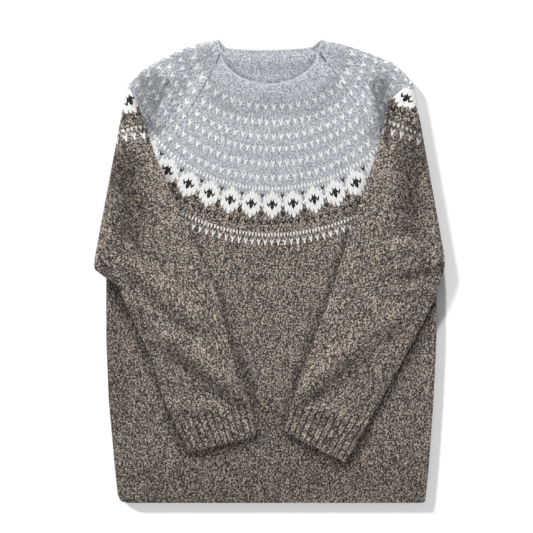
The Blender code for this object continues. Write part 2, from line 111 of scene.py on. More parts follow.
# Front: one knitted panel, brown heather below and a light grey yoke above. It is worked in
# stocking stitch, wide at the underarms and narrowed along both raglans to the neckband.
# Its sides fold down to the side seams.
MM = 0.001
WALL = 2.6
HEIGHT = 7.6
FOLD_RADIUS = 3.65
HALF_GAP = 0.15       # half of the gap between the front and the back at their side seams
SIDE_REACH = 7.4      # how far in from its edge a folded side starts to curve down
SIDE_LENGTH = 9.2     # cloth in that curve
SIDE_FADE = 7.2       # rows above the underarm over which the side fold opens out
UNDERARM_ROW = 71.0
SEAM_ROW = 14.0       # the raglan seams show as a groove down to this row
HEM_ROW = 133.0
BODY_WALES = 81
FRONT_ROWS = np.array((
    # row, left x, left y, right x, right y, sag, power
    (0.0, -77.3, 291.0, 77.3, 294.0, 42.2, 0.70),
    (2.1, -85.3, 274.0, 91.8, 275.0, 33.5, 0.73),
    (5.7, -94.3, 258.5, 102.3, 259.5, 33.0, 0.76),
    (11.8, -106.2, 238.5, 114.1, 241.6, 40.0, 0.80),
    (21.2, -124.3, 208.2, 130.4, 211.4, 48.0, 0.83),
    (30.5, -142.5, 177.9, 146.5, 181.4, 56.0, 0.86),
    (42.0, -166.9, 137.1, 169.9, 137.9, 63.0, 0.88),
    (56.4, -197.8, 85.6, 199.1, 83.7, 71.6, 0.90),
    (UNDERARM_ROW, -229.4, 32.9, 228.0, 30.0, 79.0, 0.91),
    (80.2, -231.0, -12.0, 232.0, -12.0, 62.0, 0.95),
    (97.4, -231.0, -96.0, 232.0, -96.0, 38.0, 1.0),
    (114.6, -227.5, -180.0, 228.0, -180.0, 14.0, 1.0),
    (HEM_ROW, -219.5, -269.8, 221.6, -269.8, 0.0, 1.0),
))
FRONT_ZONES = (
    # first row, last row, wales
    (0.0, 6.0, 33),
    (6.0, 16.0, 43),
    (16.0, 31.0, 55),
    (31.0, 45.0, 65),
    (45.0, HEM_ROW, BODY_WALES),
)
# The shoulder folds that stand up through the front and the sleeves
YOKE_FOLDS = (
    # x0, y0, x1, y1, height, half width
    (-139.0, 266.0, -161.0, 214.0, 8.0, 26.0),
    (128.0, 268.0, 150.0, 208.0, 8.0, 26.0),
)
# Painted shade on the front, darker where shadow falls beside the sleeves' edges, in creases and in broad
# hollows
BODY_SHADE_LINES = (
    # x0, y0, x1, y1, depth of painted shade, half width
    (-150.0, 139.0, -106.0, 32.0, 0.42, 15.0),
    (-106.0, 32.0, -68.0, -46.0, 0.36, 13.0),
    (-68.0, -46.0, -52.0, -98.0, 0.30, 12.0),
    (-52.0, -98.0, -22.0, -185.0, 0.42, 16.0),
    (-22.0, -185.0, -19.0, -232.0, 0.36, 12.0),
    (-19.0, -231.0, -114.0, -256.0, 0.22, 8.0),
    (-118.0, -252.0, -143.0, -205.0, 0.40, 14.0),
    (-143.0, -205.0, -170.0, -128.0, 0.30, 13.0),
    (-170.0, -128.0, -203.0, -60.0, 0.42, 17.0),
    (-203.0, -60.0, -228.0, 0.0, 0.60, 20.0),
    (152.0, 161.0, 112.0, 62.0, 0.36, 13.0),
    (112.0, 62.0, 70.0, -60.0, 0.32, 12.0),
    (70.0, -60.0, 41.0, -139.0, 0.40, 14.0),
    (41.0, -139.0, 26.0, -184.0, 0.45, 15.0),
    (26.0, -184.0, 15.0, -226.0, 0.36, 12.0),
    (17.0, -226.0, 105.0, -271.0, 0.22, 8.0),
    (106.0, -273.0, 143.0, -205.0, 0.42, 14.0),
    (143.0, -205.0, 184.0, -133.0, 0.40, 16.0),
    (184.0, -133.0, 220.0, -64.0, 0.45, 17.0),
    (220.0, -64.0, 231.0, -30.0, 0.45, 15.0),
    (-222.0, -30.0, -212.0, -190.0, 0.22, 26.0),
    (-4.0, -196.0, 0.0, -246.0, 0.22, 26.0),
    (-94.0, 266.0, -58.0, 232.0, 0.22, 26.0),
    (-58.0, 232.0, 60.0, 232.0, 0.22, 26.0),
    (60.0, 232.0, 100.0, 268.0, 0.24, 28.0),
)
# One stitch: how far its places lean along the wale, and how proud they stand, from wale edge
# to wale edge and from row to row
STITCH_LEAN = (0.5, 0.0, -0.5, 0.0)
STITCH_FORM = ((-0.85, 0.05, -0.6, 0.05), (-0.75, 0.35, -0.45, 0.35))
PURL_LEAN = (0.0, 0.0, 0.0, 0.0)
PURL_FORM = ((0.5, 0.1, -0.5, 0.1), (-0.5, 0.1, 0.5, 0.1))
UNEVENNESS = 0.22
SEAM_DEPTHS = (-1.5, -0.3)   # the raglan seam's groove, at each row and between two rows
EDGE_DEPTH = -0.1     # the side edges where no groove shows
ZONE_TRIM = 0.12      # rows left for the joint where the number of wales changes
CORE_REACH = 0.26     # half width of a stitch's core, in wales
GROOVE_START = 0.37   # how far from a rib's middle its groove starts, in wales
LINING_STEP = 2       # rows to a face of the plain lining
SPARE_ROWS, SPARE_LEGS = 3, 2   # tones drawn past a zone's last row and last leg
CREASE_ANGLE = math.radians(80.0)
PROBE = (0.0015, 0.12)       # share across and rows to the places that show a surface's slope
TINY = 1e-9
# The yarns by number, and the chart's rows
BROWN, GREY, WHITE, DARK, PALE = 0, 1, 2, 3, 4
FLECK_ROWS = (4, 9, 14, 18, 23, 28, 49)
DOT_ROWS = (31, 46)
DARK_ROW = 43
BORDER_MIDDLE = 37
BORDER_REACH = (3, 2, 2, 1, 0)   # half width of a lozenge, row by row from its middle
LONE_STITCH = 3       # rows from the border's middle to the dark stitches between the lozenges
MOTIF_PITCH = 6


def ease(t):
    """A share from 0 to 1 that starts and ends gently."""
    t = np.clip(t, 0.0, 1.0)
    return t * t * (3.0 - 2.0 * t)


def rise(folds, x, y):
    """Height of soft ridges along short lines, each fading to nothing at its half width."""
    total = np.zeros_like(x)
    for x0, y0, x1, y1, height, reach in folds:
        dx, dy = x1 - x0, y1 - y0
        t = np.clip(((x - x0) * dx + (y - y0) * dy) / (dx * dx + dy * dy), 0.0, 1.0)
        gap = np.hypot(x - x0 - t * dx, y - y0 - t * dy) / reach
        total = np.maximum(total, height * np.clip(1.0 - gap * gap, 0.0, None) ** 2)
    return total


def fleck(wale, row, core, late, first):
    """Every second stitch of one row, plump enough to cover some of the row below."""
    return ((row == first) | ((row == first + 1) & core & ~late)) & (wale % 2 == 0)


def dots(row, core, late, first):
    """A light dot in every stitch of one row."""
    return core & (((row == first) & late) | ((row == first + 1) & ~late))


def yoke_chart(wale, row, core, late):
    """Yarn of each place, from its wale counted from the middle and its row.

    The core is the inner half of a stitch, and the late half of a row is its lower one. A lone
    stitch fills only a part of its place, as its neighbours draw it in.
    """
    yarn = np.where(row < BORDER_MIDDLE, GREY, BROWN)
    for first in FLECK_ROWS:
        yarn[fleck(wale, row, core, late, first)] = WHITE
    for first in DOT_ROWS:
        yarn[dots(row, core, late, first)] = WHITE
    across = np.abs((wale + MOTIF_PITCH // 2) % MOTIF_PITCH - MOTIF_PITCH // 2)
    down = np.abs(row - BORDER_MIDDLE)
    inside = down < len(BORDER_REACH)
    reach = np.array(BORDER_REACH)[np.minimum(down, len(BORDER_REACH) - 1)]
    yarn[inside & (across <= reach)] = WHITE
    yarn[inside & (across + down <= 1)] = DARK
    yarn[(across == MOTIF_PITCH // 2) & (down == LONE_STITCH)] = DARK
    yarn[(row == DARK_ROW) & (across % 2 == 1)] = DARK
    return yarn


def side_fold(way, closed):
    """Way in from a panel's edge and turn of its side fold, after so much cloth."""
    t = np.clip(way / SIDE_LENGTH, 0.0, 1.0)
    curved = SIDE_REACH * (1.0 - np.cos(t * math.pi / 2.0))
    inward = (1.0 - closed) * t * SIDE_LENGTH + closed * curved + np.maximum(way - SIDE_LENGTH, 0.0)
    return inward, np.sin((1.0 - closed + closed * t) * math.pi / 2.0)


def panel(rows, face, folds):
    """Surface of a front (face 1) or a back (face -1): a function of share across and row."""

    def surface(u, v):
        left_x, left_y, right_x, right_y, sag, power = (
            np.interp(v, rows[:, 0], rows[:, k]) for k in range(1, 7))
        closed = np.clip(1.0 - (UNDERARM_ROW - v) / SIDE_FADE, 0.0, 1.0)
        width = right_x - left_x
        cloth = width + 2.0 * closed * (SIDE_LENGTH - SIDE_REACH)
        from_left, left_turn = side_fold(u * cloth, closed)
        from_right, right_turn = side_fold((1.0 - u) * cloth, closed)
        w = np.where(u < 0.5, from_left / width, 1.0 - from_right / width)
        turn = np.where(u < 0.5, left_turn, right_turn)
        x = left_x + w * width
        y = left_y + w * (right_y - left_y) - sag * np.clip(4.0 * w * (1.0 - w), 0.0, 1.0) ** power
        z = HEIGHT / 2.0 + face * (HALF_GAP + FOLD_RADIUS * turn) + rise(folds, x, y)
        return np.stack((x, y, z), axis=-1)

    return surface


def outward(surface, u, v, turn):
    """Unit normals of a surface, found from places just beside each point."""
    du, dv = PROBE
    across = surface(np.clip(u + du, 0, 1), v) - surface(np.clip(u - du, 0, 1), v)
    along = surface(u, v + dv) - surface(u, v - dv)
    normal = np.cross(across, along) * turn
    return normal / np.maximum(np.linalg.norm(normal, axis=-1, keepdims=True), TINY)


def zip_lines(faces, line_a, at_a, line_b, at_b):
    """Triangles between two lines of points that run side by side."""
    i = j = 0
    while i < len(line_a) - 1 or j < len(line_b) - 1:
        if j == len(line_b) - 1 or (i < len(line_a) - 1 and at_a[i + 1] <= at_b[j + 1]):
            faces.append((line_a[i], line_a[i + 1], line_b[j]))
            i += 1
        else:
            faces.append((line_a[i], line_b[j + 1], line_b[j]))
            j += 1


def relief(form, spot, level, v, random):
    """How far each place of the stitches stands out, a little uneven as handwork is."""
    lift = np.array(form)[level][:, spot]
    lift = lift * (1.0 + UNEVENNESS * random.standard_normal(lift.shape))
    seam = np.where(level == 0, *SEAM_DEPTHS)
    lift[:, [0, -1]] = np.where(v < SEAM_ROW, seam, EDGE_DEPTH)[:, None]
    return lift


def zone_marks(zone, u, v, spots, chart, shade_lines, groove_shade, random):
    """Yarn, tone and painted shade of each face of a zone, found at its middle."""
    first, last, wales = zone
    middle_u, middle_v = np.meshgrid((u[:-1] + u[1:]) / 2.0 * wales, (v[:-1] + v[1:]) / 2.0)
    wale = np.floor(middle_u).astype(int)
    row = np.floor(middle_v).astype(int)
    off_centre = np.abs(middle_u - wale - 0.5)
    yarn = chart(wale - (wales - 1) // 2, row, off_centre < CORE_REACH, middle_v - row > 0.5)
    leg = np.floor(middle_u * 2.0).astype(int)
    leg_tones = random.random((int(last - first) + SPARE_ROWS, wales * 2 + SPARE_LEGS))
    tone = leg_tones[row - math.floor(first), leg]
    middles = (spots[:-1, :-1] + spots[1:, 1:]) / 2.0
    # Painted shade: darker along the shade lines, and in a rib's grooves between wales
    painted_shade = rise(shade_lines, middles[..., 0], middles[..., 1]) + groove_shade * (off_centre > GROOVE_START)
    return yarn.reshape(-1), tone.reshape(-1), painted_shade.reshape(-1)


def cloth_mesh(name, points, faces, coords, marks):
    """A mesh of the points and faces, with stitch coordinates and numbers on its faces."""
    mesh = bpy.data.meshes.new(name)
    mesh.from_pydata((points * MM).tolist(), [], faces)
    work = bmesh.new()
    work.from_mesh(mesh)
    uv_layer = work.loops.layers.uv.new("stitches")
    for face in work.faces:
        for loop in face.loops:
            loop[uv_layer].uv = coords[loop.vert.index]
    loose = [vert for vert in work.verts if not vert.link_faces]
    bmesh.ops.delete(work, geom=loose, context="VERTS")
    bmesh.ops.recalc_face_normals(work, faces=work.faces)
    work.to_mesh(mesh)
    work.free()
    for label, values in marks.items():
        layer = mesh.attributes.new(label, "FLOAT", "FACE")
        layer.data.foreach_set("value", np.concatenate(values).astype(np.float32))
    mesh.shade_smooth()
    mesh.set_sharp_from_angle(angle=CREASE_ANGLE)
    return mesh


def knit(name, zones, surface, turn, chart, seed, closing_row=math.inf, form=STITCH_FORM,
         lean=STITCH_LEAN, lining_rows=-math.inf, shade_lines=(), groove_shade=0.0):
    """A closed wall of knitting: stitches in relief outside and a lining inside.

    Each zone has its own number of wales. Where the piece closes to a tube, from closing_row
    on, its last wale joins its first. Down to lining_rows the purl side is in relief too.
    Faces carry their yarn, a random tone for each leg, and painted shade along the shade lines
    or, in a rib, in the groove between two wales.
    """
    random = np.random.default_rng(seed)
    points, coords, faces, edges = [], [], [], []
    marks = {"yarn": [], "tone": [], "painted_shade": []}
    count = 0

    def mark(*values):
        """Keep the yarn, the tone and the painted shade of the faces made last."""
        for label, value in zip(marks, values):
            marks[label].append(value)

    # Side 0 is the outside, and side 1 the lining
    for side in (0, 1):
        side_form, side_lean = (PURL_FORM, PURL_LEAN) if side else (form, lean)
        left, right, top, previous = [], [], None, None
        for index, zone in enumerate(zones):
            first, last, wales = zone
            stitched = side == 0 or last <= lining_rows
            closed, ends_closed = first >= closing_row, last >= closing_row
            parts, steps = (len(side_lean), len(side_form)) if stitched else (1, 1)
            face_rows = (last - first) * steps if stitched else (last - first) // LINING_STEP
            row_count = max(round(face_rows), 1)
            columns = wales * parts
            u = np.arange(columns + 1) / columns
            trim_first = ZONE_TRIM if index else 0.0
            trim_last = ZONE_TRIM if index < len(zones) - 1 else 0.0
            v = np.linspace(first + trim_first, last - trim_last, row_count + 1)
            u_grid, v_grid = np.meshgrid(u, v)
            spot = np.arange(columns + 1) % parts
            level = np.arange(row_count + 1) % steps
            room = np.clip(np.minimum(v_grid - v[0], v[-1] - v_grid), 0.0, 1.0)
            true_v = v_grid - np.array(side_lean)[spot] * room
            lift = relief(side_form, spot, level, v, random) if stitched else np.zeros_like(v_grid)
            if index == 0:
                lift[0] = 0.0
            if index == len(zones) - 1:
                lift[-1] = 0.0
            depth = -WALL - lift if side else lift
            spots = surface(u_grid, true_v) + outward(surface, u_grid, true_v, turn) * depth[..., None]
            spots[..., 2] = np.maximum(spots[..., 2], 0.0)
            ids = count + np.arange((row_count + 1) * (columns + 1)).reshape(row_count + 1, columns + 1)
            if closed:
                ids[:, -1] = ids[:, 0]
            elif ends_closed:
                ids[-1, -1] = ids[-1, 0]
            points.append(spots.reshape(-1, 3))
            coords.append(np.stack((u_grid * wales, v_grid), axis=-1).reshape(-1, 2))
            count += ids.size

            # A face for each place
            corners = (ids[:-1, :-1], ids[:-1, 1:], ids[1:, 1:], ids[1:, :-1])
            faces.extend(np.stack(corners, axis=-1).reshape(-1, 4).tolist())
            mark(*zone_marks(zone, u, v, spots, chart, shade_lines, groove_shade, random))

            # The joint to the zone above, in the yarn of a plain place of its last row
            start, end = ((ids[k].tolist(), u.tolist()) for k in (0, -1))
            if index == 0:
                top = start
            else:
                before = len(faces)
                zip_lines(faces, *previous, *start)
                added = len(faces) - before
                plain_place = (np.array([value]) for value in (1, math.floor(first) - 1, False, False))
                mark(np.full(added, chart(*plain_place)[0]), random.random(added), np.zeros(added))
            previous = end
            if not closed:
                left.extend(zip(ids[:, 0].tolist(), v.tolist()))
                right.extend(zip(ids[:, -1].tolist(), v.tolist()))
        edges.append((top, previous, left, right))

    # The rims between the outside and the lining
    before = len(faces)
    (top_a, low_a, left_a, right_a), (top_b, low_b, left_b, right_b) = edges
    zip_lines(faces, *top_a, *top_b)
    zip_lines(faces, *low_a, *low_b)
    if zones[0][0] < closing_row:
        for line_a, line_b in ((left_a, left_b), (right_a, right_b)):
            zip_lines(faces, *zip(*line_a), *zip(*line_b))
    rim_count = len(faces) - before
    mark(np.full(rim_count, marks["yarn"][0][0]), random.random(rim_count), np.zeros(rim_count))

    mesh = cloth_mesh(name, np.concatenate(points), faces, np.concatenate(coords), marks)
    piece = bpy.data.objects.new(name, mesh)
    bpy.context.collection.objects.link(piece)
    cloth_group.objects.link(piece)
    return piece


def feed(tree, socket, value):
    """Link a socket to another one, or give it a plain value."""
    if isinstance(value, bpy.types.NodeSocket):
        tree.links.new(value, socket)
    else:
        socket.default_value = value


def face_mark(tree, name):
    """The number that each face carries under this name."""
    node = tree.nodes.new("ShaderNodeAttribute")
    node.attribute_name = name
    return node.outputs["Fac"]


def fine_noise(tree, scale, roughness):
    """Noise that keeps its place on the piece."""
    place = tree.nodes.new("ShaderNodeTexCoord")
    node = tree.nodes.new("ShaderNodeTexNoise")
    node.inputs["Scale"].default_value = scale
    node.inputs["Detail"].default_value = NOISE_DETAIL
    node.inputs["Roughness"].default_value = roughness
    tree.links.new(place.outputs["Object"], node.inputs["Vector"])
    return node.outputs["Fac"]


def sum_of(tree, operation, first, second, clamp=False):
    """Result of a sum on two sockets or numbers."""
    node = tree.nodes.new("ShaderNodeMath")
    node.operation = operation
    node.use_clamp = clamp
    feed(tree, node.inputs[0], first)
    feed(tree, node.inputs[1], second)
    return node.outputs[0]


def stretched(tree, value, ends):
    """A value carried over from one range to another, both 0 to 1 but for the ends named."""
    node = tree.nodes.new("ShaderNodeMapRange")
    for label, end in ends.items():
        node.inputs[label].default_value = end
    tree.links.new(value, node.inputs["Value"])
    return node.outputs["Result"]


def blended(tree, share, first, second, kind="MIX"):
    """A colour made from two others."""
    node = tree.nodes.new("ShaderNodeMix")
    node.data_type = "RGBA"
    node.blend_type = kind
    feed(tree, node.inputs["Factor"], share)
    feed(tree, node.inputs["A"], first)
    feed(tree, node.inputs["B"], second)
    return node.outputs["Result"]


# Heather: a yarn spun from light and dark fibres. Each leg of a stitch takes its own mixture,
# and fine fibres run along it.
FIBRE_TONES = ("Dark", "Middle", "Light")
FIBRE_SCALE = 430.0
FIBRE_ROUGHNESS = 0.65
FIBRE_CONTRAST = 3.8
NOISE_DETAIL = 2.0
NOISE_MEAN = 0.5
LEG_MIXTURES = {"To Min": 0.28, "To Max": 0.68}   # from the darkest leg to the lightest
MIDDLE_MIXTURE = 0.5  # the mixture that shows the middle tone
heather = bpy.data.node_groups.new("heather_yarn", "ShaderNodeTree")
for label in FIBRE_TONES:
    heather.interface.new_socket(label, in_out="INPUT", socket_type="NodeSocketColor")
heather.interface.new_socket("Fibre", in_out="INPUT", socket_type="NodeSocketFloat")
heather.interface.new_socket("Color", in_out="OUTPUT", socket_type="NodeSocketColor")
fibre_in = heather.nodes.new("NodeGroupInput").outputs
fibres = sum_of(heather, "SUBTRACT", fine_noise(heather, FIBRE_SCALE, FIBRE_ROUGHNESS), NOISE_MEAN)
fibres = sum_of(heather, "MULTIPLY", fibres, fibre_in["Fibre"])
leg_mixture = stretched(heather, face_mark(heather, "tone"), LEG_MIXTURES)
mixture = sum_of(heather, "ADD", leg_mixture, fibres, clamp=True)
low_part = stretched(heather, mixture, {"From Max": MIDDLE_MIXTURE})
high_part = stretched(heather, mixture, {"From Min": MIDDLE_MIXTURE})
colour = blended(heather, low_part, fibre_in["Dark"], fibre_in["Middle"])
colour = blended(heather, high_part, colour, fibre_in["Light"])
heather.links.new(colour, heather.nodes.new("NodeGroupOutput").inputs["Color"])

YARN_COLOURS = (
    # yarn, dark, middle and light fibres
    (BROWN, (0.026, 0.022, 0.021), (0.130, 0.111, 0.099), (0.560, 0.480, 0.410)),
    (GREY, (0.242, 0.253, 0.272), (0.410, 0.429, 0.454), (0.624, 0.643, 0.666)),
    (WHITE, (0.660, 0.660, 0.650), (0.780, 0.780, 0.770), (0.860, 0.860, 0.850)),
    (DARK, (0.010, 0.010, 0.012), (0.018, 0.018, 0.020), (0.035, 0.035, 0.038)),
    (PALE, (0.400, 0.415, 0.430), (0.560, 0.575, 0.590), (0.700, 0.715, 0.730)),
)
YARN_MARGIN = 0.5     # a face's mark lies within this of its yarn's number
# Colour that the painted shade darkens the yarn towards
SHADE = (0.0, 0.0, 0.0, 1.0)
WOOL_FINISH = {"Roughness": 0.95, "Sheen Weight": 0.06, "Sheen Roughness": 0.6, "Specular IOR Level": 0.15}
FUZZ_SCALE = 1500.0
FUZZ_ROUGHNESS = 0.5
FUZZ_STRENGTH = 0.5
FUZZ_HEIGHT = 0.4     # millimetres


def yarn_material(name, lightness=1.0):
    """Knitting in five yarns. The yarn mark of each face picks its heather."""
    material = bpy.data.materials.new(name)
    material.use_nodes = True
    tree = material.node_tree
    shader = tree.nodes["Principled BSDF"]
    picked = face_mark(tree, "yarn")
    colour = None
    for yarn, *fibre_colours in YARN_COLOURS:
        spun = tree.nodes.new("ShaderNodeGroup")
        spun.node_tree = heather
        for label, value in zip(FIBRE_TONES, fibre_colours):
            spun.inputs[label].default_value = (*(c * lightness for c in value), 1.0)
        spun.inputs["Fibre"].default_value = FIBRE_CONTRAST
        if colour is None:
            colour = spun.outputs["Color"]
        else:
            chosen = sum_of(tree, "GREATER_THAN", picked, yarn - YARN_MARGIN)
            colour = blended(tree, chosen, colour, spun.outputs["Color"])
    # Painted shade: each face's shade mark darkens its colour towards black
    colour = blended(tree, face_mark(tree, "painted_shade"), colour, SHADE, kind="MULTIPLY")
    tree.links.new(colour, shader.inputs["Base Color"])
    for label, value in WOOL_FINISH.items():
        shader.inputs[label].default_value = value
    fuzz = tree.nodes.new("ShaderNodeBump")
    fuzz.inputs["Strength"].default_value = FUZZ_STRENGTH
    fuzz.inputs["Distance"].default_value = FUZZ_HEIGHT * MM
    tree.links.new(fine_noise(tree, FUZZ_SCALE, FUZZ_ROUGHNESS), fuzz.inputs["Height"])
    tree.links.new(fuzz.outputs["Normal"], shader.inputs["Normal"])
    return material


body_knit = yarn_material("body_knit")
front = knit("front_knit", FRONT_ZONES, panel(FRONT_ROWS, 1, YOKE_FOLDS), -1.0, yoke_chart, 11,
             shade_lines=BODY_SHADE_LINES)
front.data.materials.append(body_knit)
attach(front, "root")
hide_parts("front")
body_group.objects.link(front)


# Back: the same panel with a shallow neckline, so its inside shows above the front's neck.
# The purl side is up; the stitches face the surface that it lies on.
NAPE_ROW = -7.0
BACK_ROWS = np.array((
    # row, left x, left y, right x, right y, sag, power
    (NAPE_ROW, -71.8, 304.0, 70.3, 306.0, 6.0, 0.80),
    (-3.7, -77.3, 291.0, 77.3, 294.0, 7.5, 0.85),
    (1.0, -85.3, 274.0, 91.8, 275.0, 10.0, 0.90),
    (6.0, -94.3, 258.5, 102.3, 259.5, 15.0, 0.90),
    (12.0, -106.2, 238.5, 114.1, 241.6, 22.0, 0.90),
    (21.2, -124.3, 208.2, 130.4, 211.4, 34.0, 0.90),
    (30.5, -142.5, 177.9, 146.5, 181.4, 44.0, 0.90),
    (42.0, -166.9, 137.1, 169.9, 137.9, 55.0, 0.90),
    (56.4, -197.8, 85.6, 199.1, 83.7, 68.0, 0.90),
    (UNDERARM_ROW, -229.4, 32.9, 228.0, 30.0, 79.0, 0.91),
    (80.2, -231.0, -12.0, 232.0, -12.0, 62.0, 0.95),
    (97.4, -231.0, -96.0, 232.0, -96.0, 38.0, 1.0),
    (114.6, -227.5, -180.0, 228.0, -180.0, 14.0, 1.0),
    (HEM_ROW, -219.5, -269.8, 221.6, -269.8, 0.0, 1.0),
))
BACK_ZONES = ((NAPE_ROW, 2.0, 29), (2.0, 6.0, 33)) + FRONT_ZONES[1:]
PURL_ROWS = 16.0      # the inside shows down to this row
NAPE_REACH = 6        # wales from the middle to the end of the light stitches inside the neck
PRESSED_FORM = ((-0.9, 0.0, -0.6, 0.0), (-0.8, 0.0, -0.4, 0.0))
# Painted shade inside the neck: beside the front's neck edge and over the inside of the back
BACK_SHADE_LINES = (
    # x0, y0, x1, y1, depth of painted shade, half width
    (-66.0, 303.0, -44.0, 268.0, 0.38, 9.0),
    (60.0, 304.0, 46.0, 266.0, 0.38, 9.0),
    (-50.0, 286.0, 48.0, 286.0, 0.22, 24.0),
    (-55.0, 284.0, -35.0, 272.0, 0.35, 5.0),
    (-35.0, 272.0, 0.0, 266.0, 0.35, 5.0),
    (0.0, 266.0, 32.0, 273.0, 0.35, 5.0),
    (32.0, 273.0, 52.0, 286.0, 0.35, 5.0),
)


def back_chart(wale, row, core, late):
    """The yoke's chart with two rows of light stitches below the nape."""
    yarn = yoke_chart(wale, row, core, late)
    yarn[(row == 0) & (np.abs(wale) < NAPE_REACH) & (wale % 2 == 0) & core] = PALE
    yarn[(row == NAPE_ROW) & core] = PALE
    return yarn


back = knit("back_knit", BACK_ZONES, panel(BACK_ROWS, -1, ()), 1.0, back_chart, 12,
            form=PRESSED_FORM, lining_rows=PURL_ROWS, shade_lines=BACK_SHADE_LINES)
back.data.materials.append(body_knit)
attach(back, "root")
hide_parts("back")
body_group.objects.link(back)

# Hem bands: plain knitting of the same brown yarn, a little darker, below a faint seam line.
SEAM_TRIM = 0.03      # rows left open at a seam
HEM_START = HEM_ROW + SEAM_TRIM
HEM_END = 146.0
HEM_ROWS = np.array((
    # row, left x, left y, right x, right y, sag, power
    (HEM_START, -219.5, -269.9, 221.6, -269.9, 0.0, 1.0),
    (139.3, -216.8, -296.0, 219.0, -296.0, 0.0, 1.0),
    (143.4, -214.8, -313.0, 217.2, -315.0, 0.0, 1.0),
    (145.3, -211.5, -321.0, 216.4, -321.6, 0.0, 1.0),
    (HEM_END, -205.0, -324.0, 214.0, -324.0, 0.0, 1.0),
))
hem_knit = yarn_material("hem_knit", lightness=0.86)


def plain_chart(wale, row, core, late):
    """Brown yarn all over."""
    return np.full(wale.shape, BROWN)


for name, face, turn, form, seed in (
        ("hem_front", 1, -1.0, STITCH_FORM, 21), ("hem_back", -1, 1.0, PRESSED_FORM, 22)):
    band = knit(f"{name}_knit", ((HEM_START, HEM_END, BODY_WALES),), panel(HEM_ROWS, face, ()), turn,
                plain_chart, seed, form=form)
    band.data.materials.append(hem_knit)
    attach(band, "root")
    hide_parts(name)
    body_group.objects.link(band)


# Sleeves: tubes from raglan to wrist, pressed flat. Each turns over at a fold beside the body
# and lies on the front, so that its back shows. Places past the fold are given as they lie.
FOLD_RISE = 10.0      # half the height of the turned-over edge
FOLD_CENTRE = 6.2     # radius of the sleeve's middle layer in the fold
SETTLE_REACH = 40.0   # how far past the fold the cloth has settled
LAID_DROP = 4.3       # how much the upper cloth settles once past the fold
UNDER_CALM = 0.7      # how much less its lower layer follows the folds
SLEEVE_PUFF = 4.0     # how much the laid sleeve swells between its edges
PUFF_START = 60.0     # row, and the rows over which it comes
PUFF_ROWS = 20.0
# Each row lies on a circle round the neck, wider by a pitch than the last. The bow comes over the
# first rows, and below the underarm it fades to a part of itself.
NECK_CIRCLE = 83.0
ROW_PITCH = 4.05
BOW_ROWS = 5.0
FADED_ROW = 110.0
FADING_ROWS = 40.0
FADED_PART = 0.25
CUFF_ROW = 140.0
WRIST_ROW = 153.0
ARM_FOLDS = {
    # x0, y0, x1, y1, height, half width
    "left": ((-199.0, 10.0, -103.0, -68.0, 6.0, 23.0), (-188.0, -42.0, -145.0, -89.0, 8.0, 22.0),
             (-145.0, -89.0, -38.0, -174.0, 11.0, 24.0), (-140.0, -189.0, -85.0, -192.0, 5.0, 15.0)),
    "right": ((222.0, 26.0, 184.0, 36.0, 6.0, 17.0), (214.0, -24.0, 172.0, -30.0, 3.0, 20.0),
              (176.0, -60.0, 107.0, -110.0, 6.5, 26.0), (107.0, -110.0, 38.0, -172.0, 9.5, 25.0),
              (128.0, -212.0, 58.0, -190.0, 4.0, 15.0)),
}
FOLD_LINES = {
    # where the fold starts, the way along it, the way out from the body
    "left": ((-195.2, 238.2), (-0.184, -0.983), (-0.983, 0.184)),
    "right": ((194.2, 233.2), (0.177, -0.984), (0.984, 0.177)),
}
SLEEVE_ROWS = {
    # row, raglan or underarm x, y, past the fold, shoulder edge x, y, past the fold
    "left": (
        (0.0, -77.6, 291.0, 0, -86.3, 322.8, 0),
        (2.1, -85.6, 274.0, 0, -98.6, 320.0, 0),
        (5.7, -94.6, 258.5, 0, -114.4, 315.5, 0),
        (11.8, -106.5, 238.5, 0, -135.5, 307.5, 0),
        (21.2, -124.6, 208.2, 0, -167.0, 291.0, 0),
        (26.0, -133.8, 192.8, 0, -182.0, 280.5, 0),
        (30.5, -142.8, 177.9, 0, -196.0, 266.0, 0),
        (42.0, -167.2, 137.1, 0, -183.4, 227.5, 1),
        (56.4, -198.1, 85.6, 0, -160.7, 159.6, 1),
        (UNDERARM_ROW, -229.7, 32.9, 0, -135.0, 103.0, 1),
        (80.0, -251.2, 4.5, 0, -119.0, 67.5, 1),
        (89.0, -214.0, -21.0, 1, -103.0, 32.0, 1),
        (98.4, -198.5, -56.0, 1, -85.4, -5.0, 1),
        (108.2, -181.0, -93.0, 1, -71.4, -44.0, 1),
        (118.5, -166.5, -124.0, 1, -59.0, -95.0, 1),
        (130.2, -153.0, -171.0, 1, -48.4, -143.0, 1),
        (CUFF_ROW, -138.5, -203.0, 1, -29.5, -184.0, 1),
        (WRIST_ROW, -114.5, -252.0, 1, -20.5, -228.0, 1),
    ),
    "right": (
        (0.0, 77.6, 294.0, 0, 82.2, 322.3, 0),
        (2.1, 92.1, 275.0, 0, 103.2, 317.5, 0),
        (5.7, 102.6, 259.5, 0, 119.3, 312.5, 0),
        (11.8, 114.4, 241.6, 0, 139.0, 305.5, 0),
        (21.2, 130.7, 211.4, 0, 168.5, 294.0, 0),
        (26.0, 139.0, 195.9, 0, 184.0, 281.0, 0),
        (30.5, 146.8, 181.4, 0, 196.0, 268.5, 0),
        (42.0, 170.2, 137.9, 0, 163.6, 237.0, 1),
        (56.4, 199.4, 83.7, 0, 147.6, 163.5, 1),
        (UNDERARM_ROW, 228.3, 30.0, 0, 125.8, 102.0, 1),
        (91.0, 225.8, -43.0, 1, 101.0, 24.0, 1),
        (99.0, 216.0, -64.0, 1, 88.0, -20.0, 1),
        (108.5, 200.0, -95.0, 1, 73.0, -60.0, 1),
        (119.0, 180.0, -133.0, 1, 58.0, -104.0, 1),
        (128.5, 162.0, -165.0, 1, 43.4, -139.0, 1),
        (CUFF_ROW, 139.5, -205.0, 1, 30.0, -184.0, 1),
        (WRIST_ROW, 104.0, -267.0, 1, 18.5, -223.0, 1),
    ),
}
